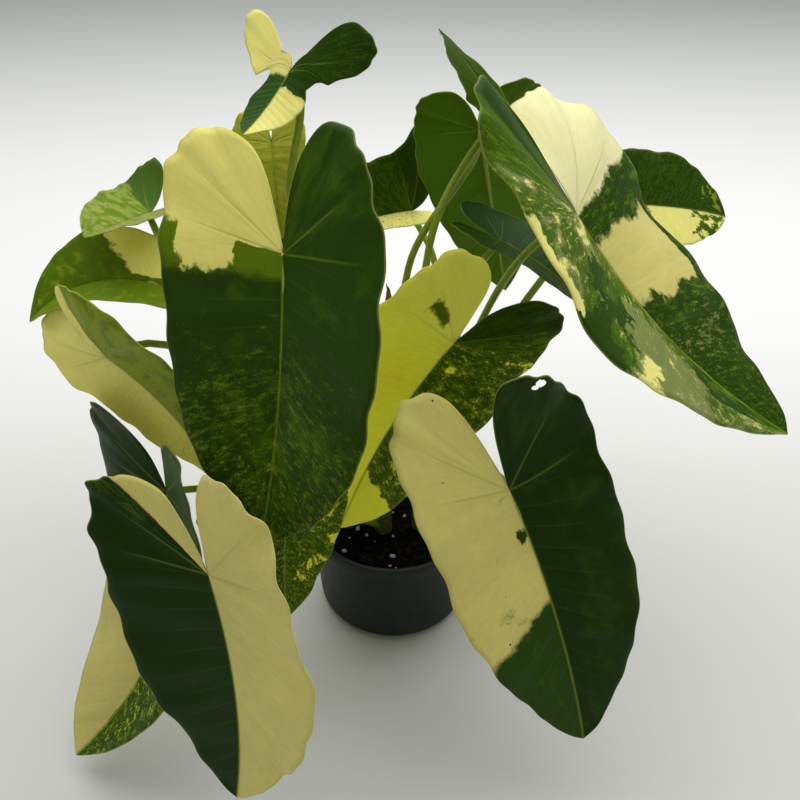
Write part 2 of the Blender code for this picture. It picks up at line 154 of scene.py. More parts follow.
LEAVES = [
    Leaf("front_left", "front_stem", (-81, -148, 112), (-78, -177, -21), (-0.45, -0.87, 0.17), (54, 57),
         (45, 58), folds=(7, 15), curls=(0.1, 0), arch=1, sweep=8, tip_fullness=0.38, through=(-96, -76, 78),
         # Its cream half and cream lobe are the darker cream, painted shade on a leaf that faces the viewer.
         tones=("black green", "dull cream"), waves=(2.8, 3.4), pleats=(1.1, 0.6), patches=(
             Patch(FIRST, "green", (0.66, 0.78), (0.55, 1), cover=0.5, soft=0.06),
             Patch(FIRST, "dull cream", (0.775, 1), ragged=0.25))),
    Leaf("centre", "front_stem", (-48, -59, 225), (-67, -92, 75), (-0.42, -0.87, 0.25), (60, 64), (47, 59),
         folds=(10, 20), lifts=(-3, -5), curls=(0, 0), arch=9, sweep=9, through=(-38, -30, 128),
         waves=(2.6, 3.0), pleats=(0.55, 0.45), patches=(
             Patch(SECOND, "green", (0.42, 1), cover=0.4, soft=0.3, broad=True),
             Patch(BOTH, "green", (0, 0.46), (0, 0.8), cover=0.5, soft=0.3, broad=True),
             Patch(BOTH, "mid green", (0, 0.44), cover=0.38, soft=0.2),
             Patch(BOTH, "lime", (0, 0.36), cover=0.22, soft=0.18),
             Patch(BOTH, "yellow", (0, 0.30), (0, 0.5), cover=0.10, soft=0.14),
             Patch(BOTH, "mid green", (0, 0.09), cover=0.6, soft=0.05),
             Patch(FIRST, "mid green", (0.462, 0.62), ragged=0.3, soft=0.012),
             Patch(FIRST, "cream", (0.472, 0.6), (0.40, 0.86), ragged=0.75),
             Patch(FIRST, "cream", (0.53, 1), ragged=0.6))),
    Leaf("low_left", "left_stem", (-120, -62, 82), (-174, -138, -45), (-0.5, -0.63, 0.59), (53, 54),
         (32, 30), folds=(20, 29), lifts=(10, 0), curls=(-0.3, 0), arch=-14, sweep=16, tip_fullness=0.62,
         # Its first half is shaded cream, painted shade on a leaf that faces the viewer.
         through=(-78, -36, 58), tones=("shaded cream", "deep green"), waves=(1.5, 2.0), patches=(
             Patch(FIRST, "black green", (0.40, 1), ragged=0.6),
             Patch(SECOND, "mid green", (0, 0.45), cover=0.42, soft=0.12),
             Patch(SECOND, "lime", (0, 0.4), cover=0.3, soft=0.12),
             Patch(SECOND, "yellow", (0.05, 0.34), (0, 0.8), cover=0.24, soft=0.1),
             Patch(SECOND, "green", (0.6, 1), cover=0.5, soft=0.1))),
    Leaf("low_centre", "left_stem", (-50, -64, 112), (-57, -97, 22), (0.29, -0.88, 0.37), (32, 32), (34, 36),
         folds=(12, 8), arch=2, sweep=-3,
         tones=("deep green", "green"), waves=(1.0, 1.5), patches=(
             Patch(BOTH, "mid green", (0, 0.7), cover=0.45, soft=0.1),
             Patch(BOTH, "lime", (0, 0.5), cover=0.34, soft=0.1),
             Patch(BOTH, "yellow", (0, 0.5), cover=0.1, soft=0.08),
             Patch(SECOND, "yellow", (0.1, 0.6), (0.3, 1), cover=0.33, soft=0.06, broad=True))),
    Leaf("left_cream", "left_stem", (-147, -31, 148), (-93, -49, 77), (-0.44, -0.89, -0.11), (34, 36),
         (36, 43), folds=(6, 9), lifts=(-18, -8), curls=(0.08, -0.1), arch=-4, sweep=3, tip_fullness=0.4,
         tones=("cream", "lime"), waves=(1.8, 1.4), patches=(
             Patch(SECOND, "mid green", (0, 1), cover=0.3, soft=0.3, broad=True),
             Patch(SECOND, "olive", (0.1, 0.8), (0.15, 0.9), cover=0.25, soft=0.3),
             Patch(SECOND, "cream", (0.80, 1), ragged=0.35),
             Patch(FIRST, "yellow", (0, 0.5), cover=0.3, soft=0.2))),
    Leaf("left_small", "left_stem", (-131, 36, 196), (-151, -15, 209), (0.14, 0.19, 0.97), (24, 22),
         (25, 24), folds=(21, 21), lifts=(17, 0), curls=(0, 0), arch=0, through=(-62, 28, 92),
         tones=("mid green", "olive"), waves=(0.9, 0.9), patches=(
             Patch(BOTH, "cream", (0, 0.75), cover=0.4, soft=0.3, broad=True),
             Patch(BOTH, "mid green", (0, 0.8), cover=0.42, soft=0.3, broad=True),
             Patch(FIRST, "green", (0.55, 1), ragged=0.8))),
    Leaf("left_green", "left_stem", (-122, 9, 166), (-194, -4, 152), (-0.11, -0.38, 0.92), (32, 28),
         (31, 31), folds=(29, 30), curls=(-0.1, 0), arch=12, sweep=-5, tip_fullness=0.6,
         tones=("leaf green", "mid green"), waves=(1.0, 1.0), patches=(
             Patch(BOTH, "mid green", (0, 1), cover=0.45, soft=0.4, broad=True),
             Patch(BOTH, "lime", (0, 1), cover=0.2, soft=0.3, broad=True),
             Patch(FIRST, "cream", (0.38, 0.6), (0.12, 1), ragged=0.7))),
    Leaf("front_right", "right_stem", (55, -114, 132), (99, -153, -6), (0.04, -0.96, 0.28), (47, 47),
         (56, 63), folds=(20, 12), lifts=(-12, 31), curls=(0, -0.28), sweep=4,
         # Its first half is the darker cream, painted shade on a leaf that faces the viewer.
         tones=("dull cream", "black green"), waves=(2.2, 2.6), pleats=(0.6, 0.45),
         holes=((SECOND, 0.735, 0.93, 2.2), (SECOND, 0.748, 0.90, 1.7)), patches=(
             Patch(FIRST, "deep green", (0, 0.285), ragged=0.22),
             Patch(FIRST, "green", (0.10, 0.275), (0.1, 1), cover=0.6, soft=0.3, broad=True),
             Patch(FIRST, "deep green", (0.385, 0.415), (0, 0.09), ragged=0.7),
             Patch(SECOND, "deep green", (0, 1), (0.1, 1), cover=0.32, soft=0.4, broad=True))),
    Leaf("under_right", "right_stem", (58, 20, 188), (110, 4, 148), (0.55, -0.16, 0.82), (25, 25), (27, 27),
         folds=(22, 12), arch=5,
         # Its second half is slate green, painted shade: the bluish dark green of a leaf in shadow.
         tones=("deep green", "slate green"), waves=(0.8, 0.8)),
    Leaf("yellow", "right_stem", (33, -18, 148), (-30, -46, 39), (0.14, -0.97, 0.21), (49, 45), (48, 43),
         folds=(13, 13), lifts=(6, 5), curls=(-0.13, -0.2), arch=3, sweep=-7, tip_fullness=0.55,
         tones=("yellow", "green"), waves=(2.4, 2.0), patches=(
             Patch(FIRST, "pale yellow", (0.52, 1), soft=0.12),
             Patch(FIRST, "mid green", (0.56, 0.66), (0.25, 0.55), ragged=1.1, soft=0.02),
             Patch(SECOND, "deep green", (0.3, 1), cover=0.5, soft=0.1),
             Patch(SECOND, "mid green", (0.1, 0.7), cover=0.5, soft=0.1),
             Patch(SECOND, "lime", (0.1, 0.62), cover=0.36, soft=0.1),
             Patch(SECOND, "yellow", (0.1, 0.62), cover=0.2, soft=0.1),
             Patch(SECOND, "yellow", (0.1, 0.6), (0.1, 1), cover=0.27, soft=0.06, broad=True),
             Patch(SECOND, "yellow", (0, 0.16), ragged=0.8))),
    Leaf("right", "right_stem", (86, -34, 232), (195, -75, 133), (0.56, -0.32, 0.76), (61, 60), (77, 55),
         folds=(19, 18), lifts=(2, -22), curls=(-0.17, -0.2), arch=-7, sweep=-6, tip_fullness=0.41,
         through=(46, 4, 140),
         tones=("green", "deep green"), waves=(3.2, 4.0), pleats=(0.4, 0.4), patches=(
             Patch(FIRST, "mid green", (0, 0.9), cover=0.4, soft=0.1),
             Patch(SECOND, "mid green", (0, 0.9), cover=0.32, soft=0.2),
             Patch(FIRST, "olive", (0, 0.7), cover=0.42, soft=0.08, broad=True),
             Patch(FIRST, "olive", (0.21, 0.35), (0.2, 1), ragged=0.9),
             # The darker cream patches on this leaf give darker mottles in its cream.
             Patch(FIRST, "dull cream", (0, 0.66), cover=0.24, soft=0.06),
             Patch(FIRST, "cream", (0.36, 0.66), cover=0.22, soft=0.05, broad=True),
             Patch(FIRST, "dull cream", (0.05, 0.3), cover=0.2, soft=0.05, broad=True),
             Patch(FIRST, "cream", (0.43, 0.56), (0.88, 1), ragged=0.7),
             Patch(FIRST, "cream", (0.30, 0.335), (0.7, 1), ragged=0.8),
             Patch(FIRST, "deep green", (0.35, 0.43), (0.2, 1), cover=0.64, broad=True),
             Patch(FIRST, "deep green", (0, 0.22), (0, 0.6), cover=0.6, soft=0.04, broad=True),
             Patch(FIRST, "deep green", (0.74, 1), ragged=0.6),
             Patch(SECOND, "olive", (0.12, 0.32), (0, 0.9), cover=0.38, soft=0.1),
             Patch(SECOND, "dull cream", (0.31, 0.435), (0, 0.88), ragged=0.5),
             Patch(SECOND, "pale cream", (0.495, 1), ragged=0.4))),
    Leaf("back_rolled", "right_stem", (56, 44, 247), (22, 13, 301), (0.87, -0.1, 0.49), (25, 26), (16, 29),
         folds=(-18, 28), lifts=(1, 0), curls=(-0.3, 0), arch=3, through=(20, 12, 190),
         tones=("green", "green"), waves=(0.8, 1.2)),
    Leaf("back_centre", "back_stem", (11, 108, 160), (-86, 88, 126), (-0.23, -0.4, 0.88), (40, 24), (32, 13),
         folds=(50, 27), lifts=(52, 0), curls=(0.1, -0.05), arch=7, sweep=-3, waist=0.8,
         through=(26, 78, 132), tones=("deep green", "cream"), waves=(1.0, 1.0), patches=(
             Patch(FIRST, "green", (0.3, 0.6), cover=0.5, soft=0.1),
             Patch(SECOND, "mid green", (0.1, 0.6), cover=0.3))),
    Leaf("back_right", "back_stem", (127, 38, 200), (190, 62, 180), (0.44, -0.61, 0.66), (26, 31), (30, 30),
         folds=(12, 18),
         tones=("cream", "deep green"), waves=(1.6, 1.2), patches=(
             Patch(SECOND, "green", (0, 0.8), cover=0.45, soft=0.1),
             Patch(BOTH, "lime", (0, 0.22), (0.4, 1), cover=0.45, soft=0.05, broad=True),
             Patch(FIRST, "green", (0, 0.26), cover=0.5, soft=0.05, broad=True),
             Patch(FIRST, "deep green", (0.4, 1), ragged=0.8))),
    Leaf("top_yellow", "back_stem", (-64, 52, 229), (-59, 28, 185), (-0.07, -0.88, 0.48), (21, 19), (19, 21),
         tones=("dull yellow", "dull yellow"), waves=(0.8, 0.8), patches=(
             Patch(BOTH, "lime", (0, 1), cover=0.4, soft=0.4, broad=True),)),
    Leaf("back", "back_stem", (49, 76, 226), (73, 104, 105), (-0.2, 0.9, 0.4), (41, 38), (25, 31),
         through=(9, 30, 165),
         tones=("green", "green"), waves=(1.6, 1.6)),
    Leaf("top", "back_stem", (-49, 23, 277), (-70, -1, 256), (-0.47, -0.31, 0.83), (22, 24), (55, 39),
         folds=(-3, 6), lifts=(3, 7), curls=(0, -0.45), arch=-3, sweep=-2, splays=(50, 25), waist=0.62,
         lobe_fullness=1.15, through=(-50, 6, 215),
         tones=("slate green", "deep green"), waves=(0.8, 0.8), pleats=(0.05, 0.08), patches=(
             Patch(FIRST, "cream", (0.46, 1), ragged=0.4),
             Patch(SECOND, "cream", (0, 0.4), ragged=0.6),
             Patch(SECOND, "green", (0.5, 1), cover=0.4))),
]

STEMS = ("front_stem", "left_stem", "right_stem", "back_stem")


# Shader graphs


class Value:
    """A number socket that adds Math nodes when it is used in an expression."""

    def __init__(self, graph, socket):
        self.graph = graph
        self.socket = socket

    def maths(self, operation, *inputs):
        return self.graph.value("ShaderNodeMath", {"operation": operation}, dict(enumerate(inputs)))

    def __add__(self, other):
        return self.maths("ADD", self, other)

    __radd__ = __add__

    def __sub__(self, other):
        return self.maths("SUBTRACT", self, other)

    def __rsub__(self, other):
        return self.maths("SUBTRACT", other, self)

    def __mul__(self, other):
        return self.maths("MULTIPLY", self, other)

    __rmul__ = __mul__

    def __truediv__(self, other):
        return self.maths("DIVIDE", self, other)

    def __abs__(self):
        return self.maths("ABSOLUTE", self)

    def most(self, other):
        return self.maths("MAXIMUM", self, other)

    def fraction(self):
        return self.maths("FRACT", self)

    def between(self, low, high):
        """0 below low and 1 above high, with a smooth rise."""
        inputs = {"Value": self, "From Min": low, "From Max": high}
        return self.graph.value("ShaderNodeMapRange", {"interpolation_type": "SMOOTHSTEP"}, inputs)


class Graph:
    """The node tree of one new material."""

    def __init__(self, name):
        self.material = bpy.data.materials.new(name)
        self.material.use_nodes = True
        self.tree = self.material.node_tree
        self.shader = self.tree.nodes["Principled BSDF"]

    def node(self, kind, settings=None, inputs=None):
        made = self.tree.nodes.new(kind)
        for key, setting in (settings or {}).items():
            setattr(made, key, setting)
        for key, given in (inputs or {}).items():
            self.feed(made.inputs[key], given)
        return made

    def feed(self, socket, given):
        if isinstance(given, Value):
            self.tree.links.new(given.socket, socket)
        elif isinstance(given, bpy.types.NodeSocket):
            self.tree.links.new(given, socket)
        else:
            socket.default_value = given

    def value(self, kind, settings=None, inputs=None, output=0):
        return Value(self, self.node(kind, settings, inputs).outputs[output])

    def place(self):
        """The point on the object, in metres."""
        return self.node("ShaderNodeTexCoord").outputs["Object"]

    def attribute(self, name):
        return self.node("ShaderNodeAttribute", {"attribute_name": name}).outputs["Vector"]

    def split(self, vector):
        made = self.node("ShaderNodeSeparateXYZ", inputs={"Vector": vector})
        return [Value(self, socket) for socket in made.outputs]

    def join(self, x, y, z):
        return self.node("ShaderNodeCombineXYZ", inputs={0: x, 1: y, 2: z}).outputs[0]

    def noise(self, vector, scale, detail=3.0, roughness=0.5, distortion=0.0):
        inputs = {"Vector": vector, "Scale": scale, "Detail": detail, "Roughness": roughness,
                  "Distortion": distortion}
        return self.value("ShaderNodeTexNoise", {"normalize": True}, inputs)

    def cells(self, vector, scale):
        inputs = {"Vector": vector, "Scale": scale}
        return self.value("ShaderNodeTexVoronoi", {"feature": "F1"}, inputs)

    def mix(self, factor, first, second):
        inputs = {"Factor": factor, 6: coloured(first), 7: coloured(second)}
        return self.node("ShaderNodeMix", {"data_type": "RGBA"}, inputs).outputs[2]

    def vector(self, operation, colour, other):
        """A colour scaled by a number, or with another colour added."""
        inputs = {0: colour, "Scale" if operation == "SCALE" else 1: other}
        return self.node("ShaderNodeVectorMath", {"operation": operation}, inputs).outputs[0]

    def bump(self, height, distance, strength=1.0):
        inputs = {"Height": height, "Distance": distance, "Strength": strength}
        self.feed(self.shader.inputs["Normal"], self.node("ShaderNodeBump", inputs=inputs).outputs[0])

    def finish(self, **inputs):
        for key, given in inputs.items():
            self.feed(self.shader.inputs[key.replace("_", " ")], given)
        return self.material


def coloured(given):
    """A colour as four numbers, or a socket as it is."""
    return (*given, 1.0) if isinstance(given, tuple) and len(given) == 3 else given


# Materials of the leaves


VEINS_PER_SHARE = 26
VEIN_WIDTH = 0.0005
MAIN_VEINS = (0.535, 0.66)
MAIN_VEIN_WIDTH = 0.0009
MIDRIB_WIDTH = 0.0012
MIDRIB_END = (0.47, 0.50)
LOBE_BEGINS = (0.45, 0.60)
MARGIN_RIM = (0.985, 0.998)
HALF_EDGE = 0.004

# How a patch's cover sets the level that its noise must pass, and how soft that step is
COVER_SPREAD = 0.36
OUTSIDE_DROP = 0.3
LEVEL_EDGE = 0.02
LEVEL_SOFTNESS = 0.25

# How far a patch's edge wanders, along the share and across the reach
SHARE_WANDER = (0.16, 0.06)
REACH_WANDER = (0.30, 0.12)

# Tints of the veins and of the margin's rim, and how strongly each of them shows
SIDE_VEIN_TINT, SIDE_VEIN_SHOWS = (0.36, 0.42, 0.05), 0.05
MAIN_VEIN_TINT, MAIN_VEIN_SHOWS = (0.30, 0.40, 0.04), 0.24
MIDRIB_TINT, MIDRIB_SHOWS = (0.28, 0.38, 0.03), 0.5
RIM_TINT, RIM_SHOWS = (0.42, 0.44, 0.12), 0.35
UNDERSIDE_HAZE = (0.035, 0.075, 0.002)


def patch_mask(patch, side, share, reach, marble):
    """1 inside a patch and 0 outside it, broken up by the marble noise where its cover is under 1."""
    mask = None
    limits = [(share, patch.shares[0], 1), (share, patch.shares[1], -1),
              (reach, patch.reaches[0], 1), (reach, patch.reaches[1], -1)]
    for value, limit, sense in limits:
        if limit in (0, 1):
            continue
        inside = ((value - limit) * sense).between(-patch.soft, patch.soft)
        mask = inside if mask is None else mask * inside
    if patch.cover < 1:
        middle = 0.5 + (0.5 - patch.cover) * COVER_SPREAD
        level = marble if mask is None else marble - (1 - mask) * OUTSIDE_DROP
        edge = LEVEL_EDGE + LEVEL_SOFTNESS * patch.soft
        mask = level.between(middle - edge, middle + edge)
    if patch.half != BOTH:
        second = side.between(-HALF_EDGE, HALF_EDGE)
        half = second if patch.half == SECOND else 1 - second
        mask = half if mask is None else mask * half
    return mask


def vein_line(distance, width):
    """1 on a vein's line and 0 beyond its width, from a distance in metres."""
    return 1 - distance.between(width * 0.2, width)


def blade_material(leaf, number, underside):
    name = leaf.name + (" underside" if underside else " blade")
    graph = Graph(name)
    side, share, spread = graph.split(graph.attribute("lay"))
    x, y, _ = graph.split(graph.attribute("flat"))
    reach = abs(side)

    shifted = graph.join(x, y, number * 0.37)
    wander = graph.noise(shifted, 55, 3) - 0.5
    ripple = graph.noise(shifted, 300, 4, 0.6) - 0.5
    streak = graph.noise(graph.join(share * 120, reach * 8.0, number * 1.7 + side * 0.4), 1, 6, 0.66)
    blotch = graph.noise(graph.join(share * 24, reach * 3.2, number * 2.3 + side * 0.4), 1, 5, 0.6, 0.4)
    speck = graph.noise(shifted, 900, 4, 0.7)
    marbles = (streak * 0.6 + speck * 0.4, blotch * 0.8 + speck * 0.2)

    tint = graph.mix(side.between(-HALF_EDGE, HALF_EDGE), TONES[leaf.tones[0]], TONES[leaf.tones[1]])
    for patch in leaf.patches:
        ragged_share = share + (wander * SHARE_WANDER[0] + ripple * SHARE_WANDER[1]) * patch.ragged
        ragged_reach = reach + (wander * REACH_WANDER[0] - ripple * REACH_WANDER[1]) * patch.ragged
        mask = patch_mask(patch, side, ragged_share, ragged_reach, marbles[patch.broad])
        tint = graph.mix(mask, tint, TONES[patch.tone])
    cloud = graph.noise(shifted, 24, 2)
    tint = graph.vector("SCALE", tint, 0.72 + cloud * 0.30 + streak * 0.26)

    line = (share * VEINS_PER_SHARE).fraction() - 0.5
    side_vein = vein_line((0.5 - abs(line)) * spread / VEINS_PER_SHARE, VEIN_WIDTH)
    main_vein = None
    for place in MAIN_VEINS:
        found = vein_line(abs(share - place) * spread, MAIN_VEIN_WIDTH)
        main_vein = found if main_vein is None else main_vein.most(found)
    fading = 1 - reach.between(0.35, 0.9)
    main_vein = main_vein * fading
    midrib = vein_line(abs(y), MIDRIB_WIDTH) * (1 - share.between(*MIDRIB_END))
    on_lobe = share.between(*LOBE_BEGINS)
    tint = graph.mix(side_vein * fading * (1 - on_lobe) * SIDE_VEIN_SHOWS, tint, SIDE_VEIN_TINT)
    tint = graph.mix(main_vein * MAIN_VEIN_SHOWS, tint, MAIN_VEIN_TINT)
    tint = graph.mix(midrib * MIDRIB_SHOWS, tint, MIDRIB_TINT)
    tint = graph.mix(reach.between(*MARGIN_RIM) * RIM_SHOWS, tint, RIM_TINT)
    if leaf.name == "front_right":
        fleck = 1 - graph.cells(shifted, 150).between(0.06, 0.10)
        tint = graph.mix(fleck * graph.noise(shifted, 60, 1).between(0.50, 0.56), tint, TONES["brown"])
    if underside:
        tint = graph.vector("ADD", tint, UNDERSIDE_HAZE)

    quilt = abs(line) * 2 * (1 - on_lobe * 0.85)
    height = quilt * quilt * -0.35 + speck * 0.10 - midrib * 0.8 - main_vein * 0.6
    if underside:
        height = 0 - height
    graph.bump(height, 0.0006, 0.7)
    shine = 0.36 + speck * 0.14
    if underside:
        shine = shine + 0.2
    return graph.finish(Base_Color=tint, Roughness=shine, Specular_IOR_Level=0.09,
                        Subsurface_Weight=0.9 if "yellow" in leaf.name else 0.6, Subsurface_Scale=0.0015,
                        Subsurface_Radius=(1.0, 0.9, 0.25))


# Materials of the rest


def petiole_material(name, low, high):
    graph = Graph(name)
    place = graph.place()
    x, y, z = graph.split(place)
    streak = graph.noise(graph.join(x * 4, y * 4, z * 0.5), 160, 4, 0.6)
    blotch = graph.noise(place, 38, 2)
    tint = graph.mix((streak * 0.6 + blotch * 0.4).between(0.3, 0.7), low, high)
    graph.bump(streak, 0.0003, 0.5)
    return graph.finish(Base_Color=tint, Roughness=0.36 + streak * 0.1, Specular_IOR_Level=0.2)


def bark_material():
    graph = Graph("stem bark")
    place = graph.place()
    rough = graph.noise(place, 420, 5, 0.65)
    rings = graph.noise(graph.join(0.0, 0.0, graph.split(place)[2]), 700, 2)
    mottle = (rough * 0.6 + rings * 0.4).between(0.4, 0.62)
    tint = graph.mix(mottle, (0.10, 0.15, 0.03), (0.09, 0.055, 0.025))
    graph.bump(rough + rings, 0.0008, 0.7)
    return graph.finish(Base_Color=tint, Roughness=0.62)


def sheath_material():
    graph = Graph("dried sheath")
    x, y, z = graph.split(graph.place())
    fibre = graph.noise(graph.join(x * 6, y * 6, z * 0.4), 260, 5, 0.7)
    tint = graph.mix(fibre.between(0.35, 0.65), (0.10, 0.040, 0.020), (0.36, 0.20, 0.12))
    graph.bump(fibre, 0.0006, 0.9)
    return graph.finish(Base_Color=tint, Roughness=0.75)


def pot_material(colour):
    graph = Graph("pot plastic")
    place = graph.place()
    grain = graph.noise(place, 2600, 3, 0.6)
    dust = graph.noise(place, 60, 4, 0.6)
    _, _, z = graph.split(place)
    # The top 12 mm of the plastic is lightened towards pale grey as a painted highlight on the rim band; the
    # dust noise lightens it in blotches as real dust.
    high = z.between(POT_HIGH.z - 0.012, POT_HIGH.z)
    tint = graph.mix(dust.between(0.45, 0.75) * 0.35 + high * 0.15, colour, (0.030, 0.038, 0.034))
    graph.bump(grain, 0.00012, 0.6)
    return graph.finish(Base_Color=tint, Roughness=0.42 + dust * 0.2, Specular_IOR_Level=0.25)


def soil_material():
    graph = Graph("potting soil")
    place = graph.place()
    crumb = graph.noise(place, 520, 5, 0.7)
    lump = graph.cells(place, 330)
    tint = graph.mix(crumb.between(0.35, 0.7), (0.0012, 0.0010, 0.0008), (0.006, 0.004, 0.003))
    graph.bump(crumb - lump, 0.002, 1.0)
    return graph.finish(Base_Color=tint, Roughness=0.9, Specular_IOR_Level=0.08)


def crumb_material():
    graph = Graph("bark crumbs")
    place = graph.place()
    spot = graph.noise(place, 240, 3, 0.6)
    grain = graph.noise(place, 1800, 3)
    tint = graph.mix(spot.between(0.4, 0.65), (0.002, 0.0015, 0.001), (0.016, 0.010, 0.006))
    graph.bump(grain, 0.0004, 0.8)
    return graph.finish(Base_Color=tint, Roughness=0.8, Specular_IOR_Level=0.1)


def perlite_material():
    graph = Graph("perlite")
    place = graph.place()
    pit = graph.noise(place, 1500, 4, 0.6)
    tint = graph.mix(pit.between(0.3, 0.7), (0.32, 0.30, 0.26), (0.62, 0.61, 0.57))
    graph.bump(pit, 0.0005, 0.8)
    return graph.finish(Base_Color=tint, Roughness=0.85)


# Where the floor's painted light and shade change, in metres behind the pot: from the near colour up to a
# painted pool of light behind the pot, down to painted shade far behind, and back again
FLOOR_PAINTED_LIGHT_RISES = (-0.02, 0.36)
FLOOR_PAINTED_SHADE_FALLS = (0.40, 1.45)
FLOOR_RETURNS = (2.0, 5.5)


def floor_material(near, middle, far):
    graph = Graph("pale floor")
    place = graph.place()
    _, y, _ = graph.split(place)
    # The middle colour is a painted pool of light behind the pot, and the far colour is painted shade far
    # behind it.
    tint = graph.mix(y.between(*FLOOR_PAINTED_LIGHT_RISES), near, middle)
    tint = graph.mix(y.between(*FLOOR_PAINTED_SHADE_FALLS) * (1 - y.between(*FLOOR_RETURNS) * 0.6), tint, far)
    grain = graph.noise(place, 900, 2)
    graph.bump(grain, 0.0001, 0.15)
    return graph.finish(Base_Color=tint, Roughness=0.75)


# Finished pieces


def add_object(name, data):
    made = bpy.data.objects.new(name, data)
    bpy.context.scene.collection.objects.link(made)
    return made


def finish_piece(name, data, materials, slot, *nodes):
    piece = add_object(name, data)
    for material in materials:
        data.materials.append(material)
    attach(piece, "root")
    if nodes:
        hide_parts(*nodes)
    return piece


def mesh_from(bm, name, smooth_angle=60):
    mesh = bpy.data.meshes.new(name)
    bm.to_mesh(mesh)
    bm.free()
    mesh.shade_smooth()
    mesh.set_sharp_from_angle(angle=math.radians(smooth_angle))
    return mesh


def turned_mesh(profile, sides):
    """A closed bmesh turned about Z from (radius, height) points whose two ends lie on the axis."""
    bm = bmesh.new()
    verts = [bm.verts.new((radius, 0, height)) for radius, height in profile]
    edges = [bm.edges.new(pair) for pair in zip(verts, verts[1:])]
    bmesh.ops.spin(bm, geom=verts + edges, cent=(0, 0, 0), axis=(0, 0, 1), angle=math.tau,
                   steps=sides, use_merge=True)
    bmesh.ops.remove_doubles(bm, verts=bm.verts, dist=1e-6)
    bmesh.ops.recalc_face_normals(bm, faces=bm.faces)
    return bm


# Leaves


def leaf_point(values):
    """A point given in millimetres from the middle of the soil's surface."""
    return Vector(values) * MM + Vector((0, 0, SOIL_HIGH.z))


def blade_axes(leaf):
    """The joint, the length to the tip, and the unit vectors along the midrib, to the +Y half and up."""
    joint = leaf_point(leaf.petiole_joint)
    along = leaf_point(leaf.tip) - joint
    length = along.length
    along.normalize()
    up = Vector(leaf.faces)
    up = (up - up.dot(along) * along).normalized()
    return joint, length, along, up.cross(along), up


def bezier(points, t):
    a, b, c, d = points
    s = 1 - t
    return tuple(s**3 * a[i] + 3 * t * s**2 * b[i] + 3 * t**2 * s * c[i] + t**3 * d[i] for i in (0, 1))


def margin_point(share, length, width, lobe, leaf):
    """Flat outline of one half at a share of the way from the tip round the lobe to the petiole."""
    waist = (WAIST_AT * length, leaf.waist * width)
    corner = (-lobe, LOBE_CORNER * width * leaf.lobe_fullness)
    if share <= WIDEST_AT:
        shoulder = (TIP_SHOULDER * length, leaf.tip_fullness * width)
        return bezier([(length, 0), shoulder, (BELLY * length, width), waist], share / WIDEST_AT)
    if share <= LOBE_END_AT:
        crown = (-lobe, LOBE_CROWN * width * leaf.lobe_fullness)
        along = (share - WIDEST_AT) / (LOBE_END_AT - WIDEST_AT)
        return bezier([waist, (-LOBE_BULGE * lobe, width), crown, corner], along)
    sinus = (-SINUS_DEPTH * lobe, SINUS_WIDTH * width)
    along = (share - LOBE_END_AT) / (1 - LOBE_END_AT)
    return bezier([corner, (-lobe, SINUS_MOUTH * width), sinus, (0, 0)], along)


def flat_point(leaf, length, side, share, phase):
    """A point of the flat blade, with y counted outwards from the midrib."""
    half = 1 if side > 0 else 0
    width = leaf.widths[half] * MM
    margin_x, margin_y = margin_point(share, length, width, leaf.lobes[half] * MM, leaf)
    vein_root = length * max(0.0, 1 - share / FAN_BEGINS_AT) ** VEIN_LEAN
    reach = abs(side) * (1 + outline_wave(share, phase + half) * leaf.waves[half] * MM / width)
    return vein_root + (margin_x - vein_root) * reach, margin_y * reach


def outline_wave(share, phase):
    """How far the margin wanders out and in, from about -1 to 1."""
    turn = math.tau * share
    wave = 0.5 * math.sin(3.4 * turn + phase) + 0.32 * math.sin(7.7 * turn + 2.1 * phase)
    return (wave + 0.22 * math.sin(16.3 * turn + 3.7 * phase)) * ends_fade(share)


def ends_fade(share):
    """1 along a blade, falling to 0 at its tip and at its petiole."""
    return math.sin(math.pi * share) ** 0.5 if 0 < share < 1 else 0.0


def bent_point(leaf, length, side, share, phase):
    """A point of the bent blade in its own axes."""
    half = 1 if side > 0 else 0
    width = leaf.widths[half] * MM
    lobe = leaf.lobes[half] * MM
    reach = abs(side)
    x, y = flat_point(leaf, length, side, share, phase)
    fold = math.radians(leaf.folds[half])
    behind = min(max(-x / lobe, 0.0), 1.5)
    splay = math.radians(leaf.splays[half]) * min(3.5 * behind, 1.0)
    x, y = x * math.cos(splay) + y * math.sin(splay), y * math.cos(splay) - x * math.sin(splay)
    height = y * math.sin(fold) + leaf.curls[half] * y * y / width + leaf.lifts[half] * MM * behind**2
    t = x / length
    bow = 4 * t * (1 - t) if t > 0 else 4 * t
    across = math.copysign(y * math.cos(fold), side) + leaf.sweep * MM * bow
    return x, across, height + leaf.arch * MM * bow + ripple_height(leaf, half, share, reach, phase)


def ripple_height(leaf, half, share, reach, phase):
    """Waves of the margin and the pleats between the side veins, in metres."""
    turn = math.tau * share
    wave = math.sin(4.3 * turn + phase) + 0.6 * math.sin(9.1 * turn + 2.3 * phase)
    margin = 0.6 * leaf.waves[half] * wave * reach**3
    swell = math.sin(13 * turn + 1.5 * math.sin(4.1 * turn + phase))
    crest = 0.5 + 0.5 * math.sin(2.2 * turn + phase) ** 2
    pleat = leaf.pleats[half] * swell * math.sin(math.pi * reach) * crest
    pleat *= 1 - 0.75 * min(max((share - 0.45) / 0.15, 0.0), 1.0)
    return (margin + pleat) * MM * ends_fade(share)


